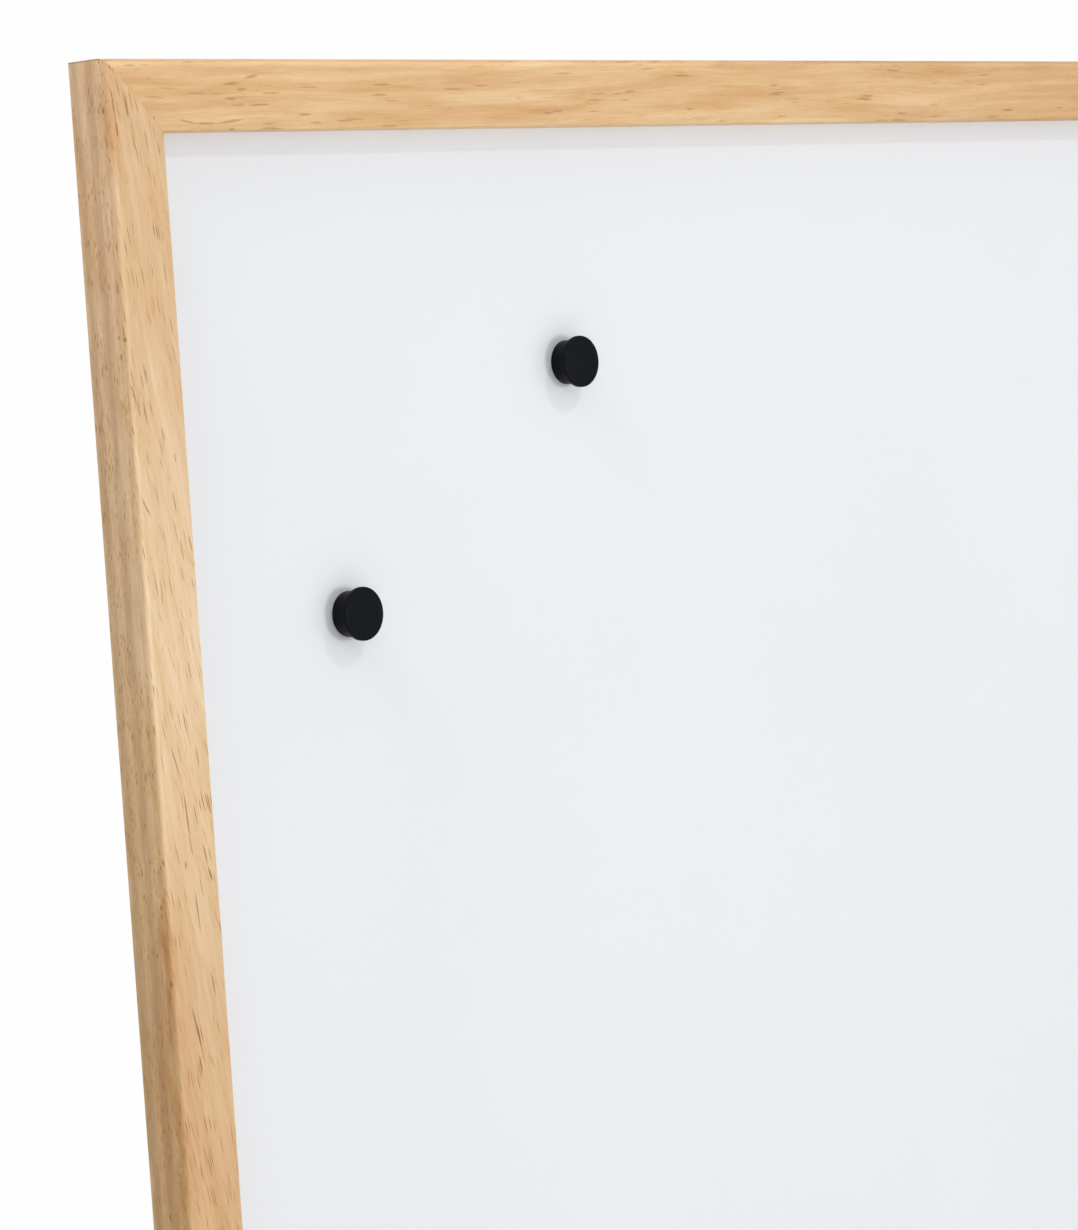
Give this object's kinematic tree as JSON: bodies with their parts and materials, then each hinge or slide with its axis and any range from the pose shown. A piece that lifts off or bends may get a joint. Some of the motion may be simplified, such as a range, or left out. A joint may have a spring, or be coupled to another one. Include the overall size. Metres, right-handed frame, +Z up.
{
  "type": "magnetic whiteboard",
  "caption": "Wall-hung magnetic dry-erase board: white enamelled steel sheet in a mitred wooden frame, with button magnets.",
  "frame": {"origin": "on the wall plane, at the middle of the top rail's back face", "axes": "+X along the rails to the viewer's right when facing the board, +Y into the wall, +Z up"},
  "size_m": [0.6, 0.0151, 0.45],
  "materials": {
    "wood": "clear satin lacquer over straight honey-coloured grain",
    "white_enamel": "smooth semi-gloss white enamel on sheet steel",
    "hardboard": "bare brown hardboard",
    "plated_steel": "bright zinc plate",
    "black_plastic": "satin moulded black",
    "ferrite": "dull dark grey sintered ferrite"
  },
  "bodies": {
    "root": {"frame_rail_top": "wood", "frame_rail_bottom": "wood", "frame_stile_left": "wood", "frame_stile_right": "wood", "writing_sheet": "white_enamel", "backer_board": "hardboard", "v_nail_top_left_outer": "plated_steel", "v_nail_top_left_inner": "plated_steel", "v_nail_top_right_outer": "plated_steel", "v_nail_top_right_inner": "plated_steel", "v_nail_bottom_left_outer": "plated_steel", "v_nail_bottom_left_inner": "plated_steel", "v_nail_bottom_right_outer": "plated_steel", "v_nail_bottom_right_inner": "plated_steel", "framing_point_top_1": "plated_steel", "framing_point_top_2": "plated_steel", "framing_point_top_3": "plated_steel", "framing_point_top_4": "plated_steel", "framing_point_bottom_1": "plated_steel", "framing_point_bottom_2": "plated_steel", "framing_point_bottom_3": "plated_steel", "framing_point_bottom_4": "plated_steel", "framing_point_left_1": "plated_steel", "framing_point_left_2": "plated_steel", "framing_point_left_3": "plated_steel", "framing_point_right_1": "plated_steel", "framing_point_right_2": "plated_steel", "framing_point_right_3": "plated_steel", "hanger_plate_left": "plated_steel", "hanger_plate_right": "plated_steel", "hanger_screw_left_lower": "plated_steel", "hanger_screw_left_upper": "plated_steel", "hanger_screw_right_lower": "plated_steel", "hanger_screw_right_upper": "plated_steel", "magnet_knob_upper": "black_plastic", "magnet_knob_lower": "black_plastic", "magnet_disc_upper": "ferrite", "magnet_disc_lower": "ferrite"}
  },
  "joints": []
}
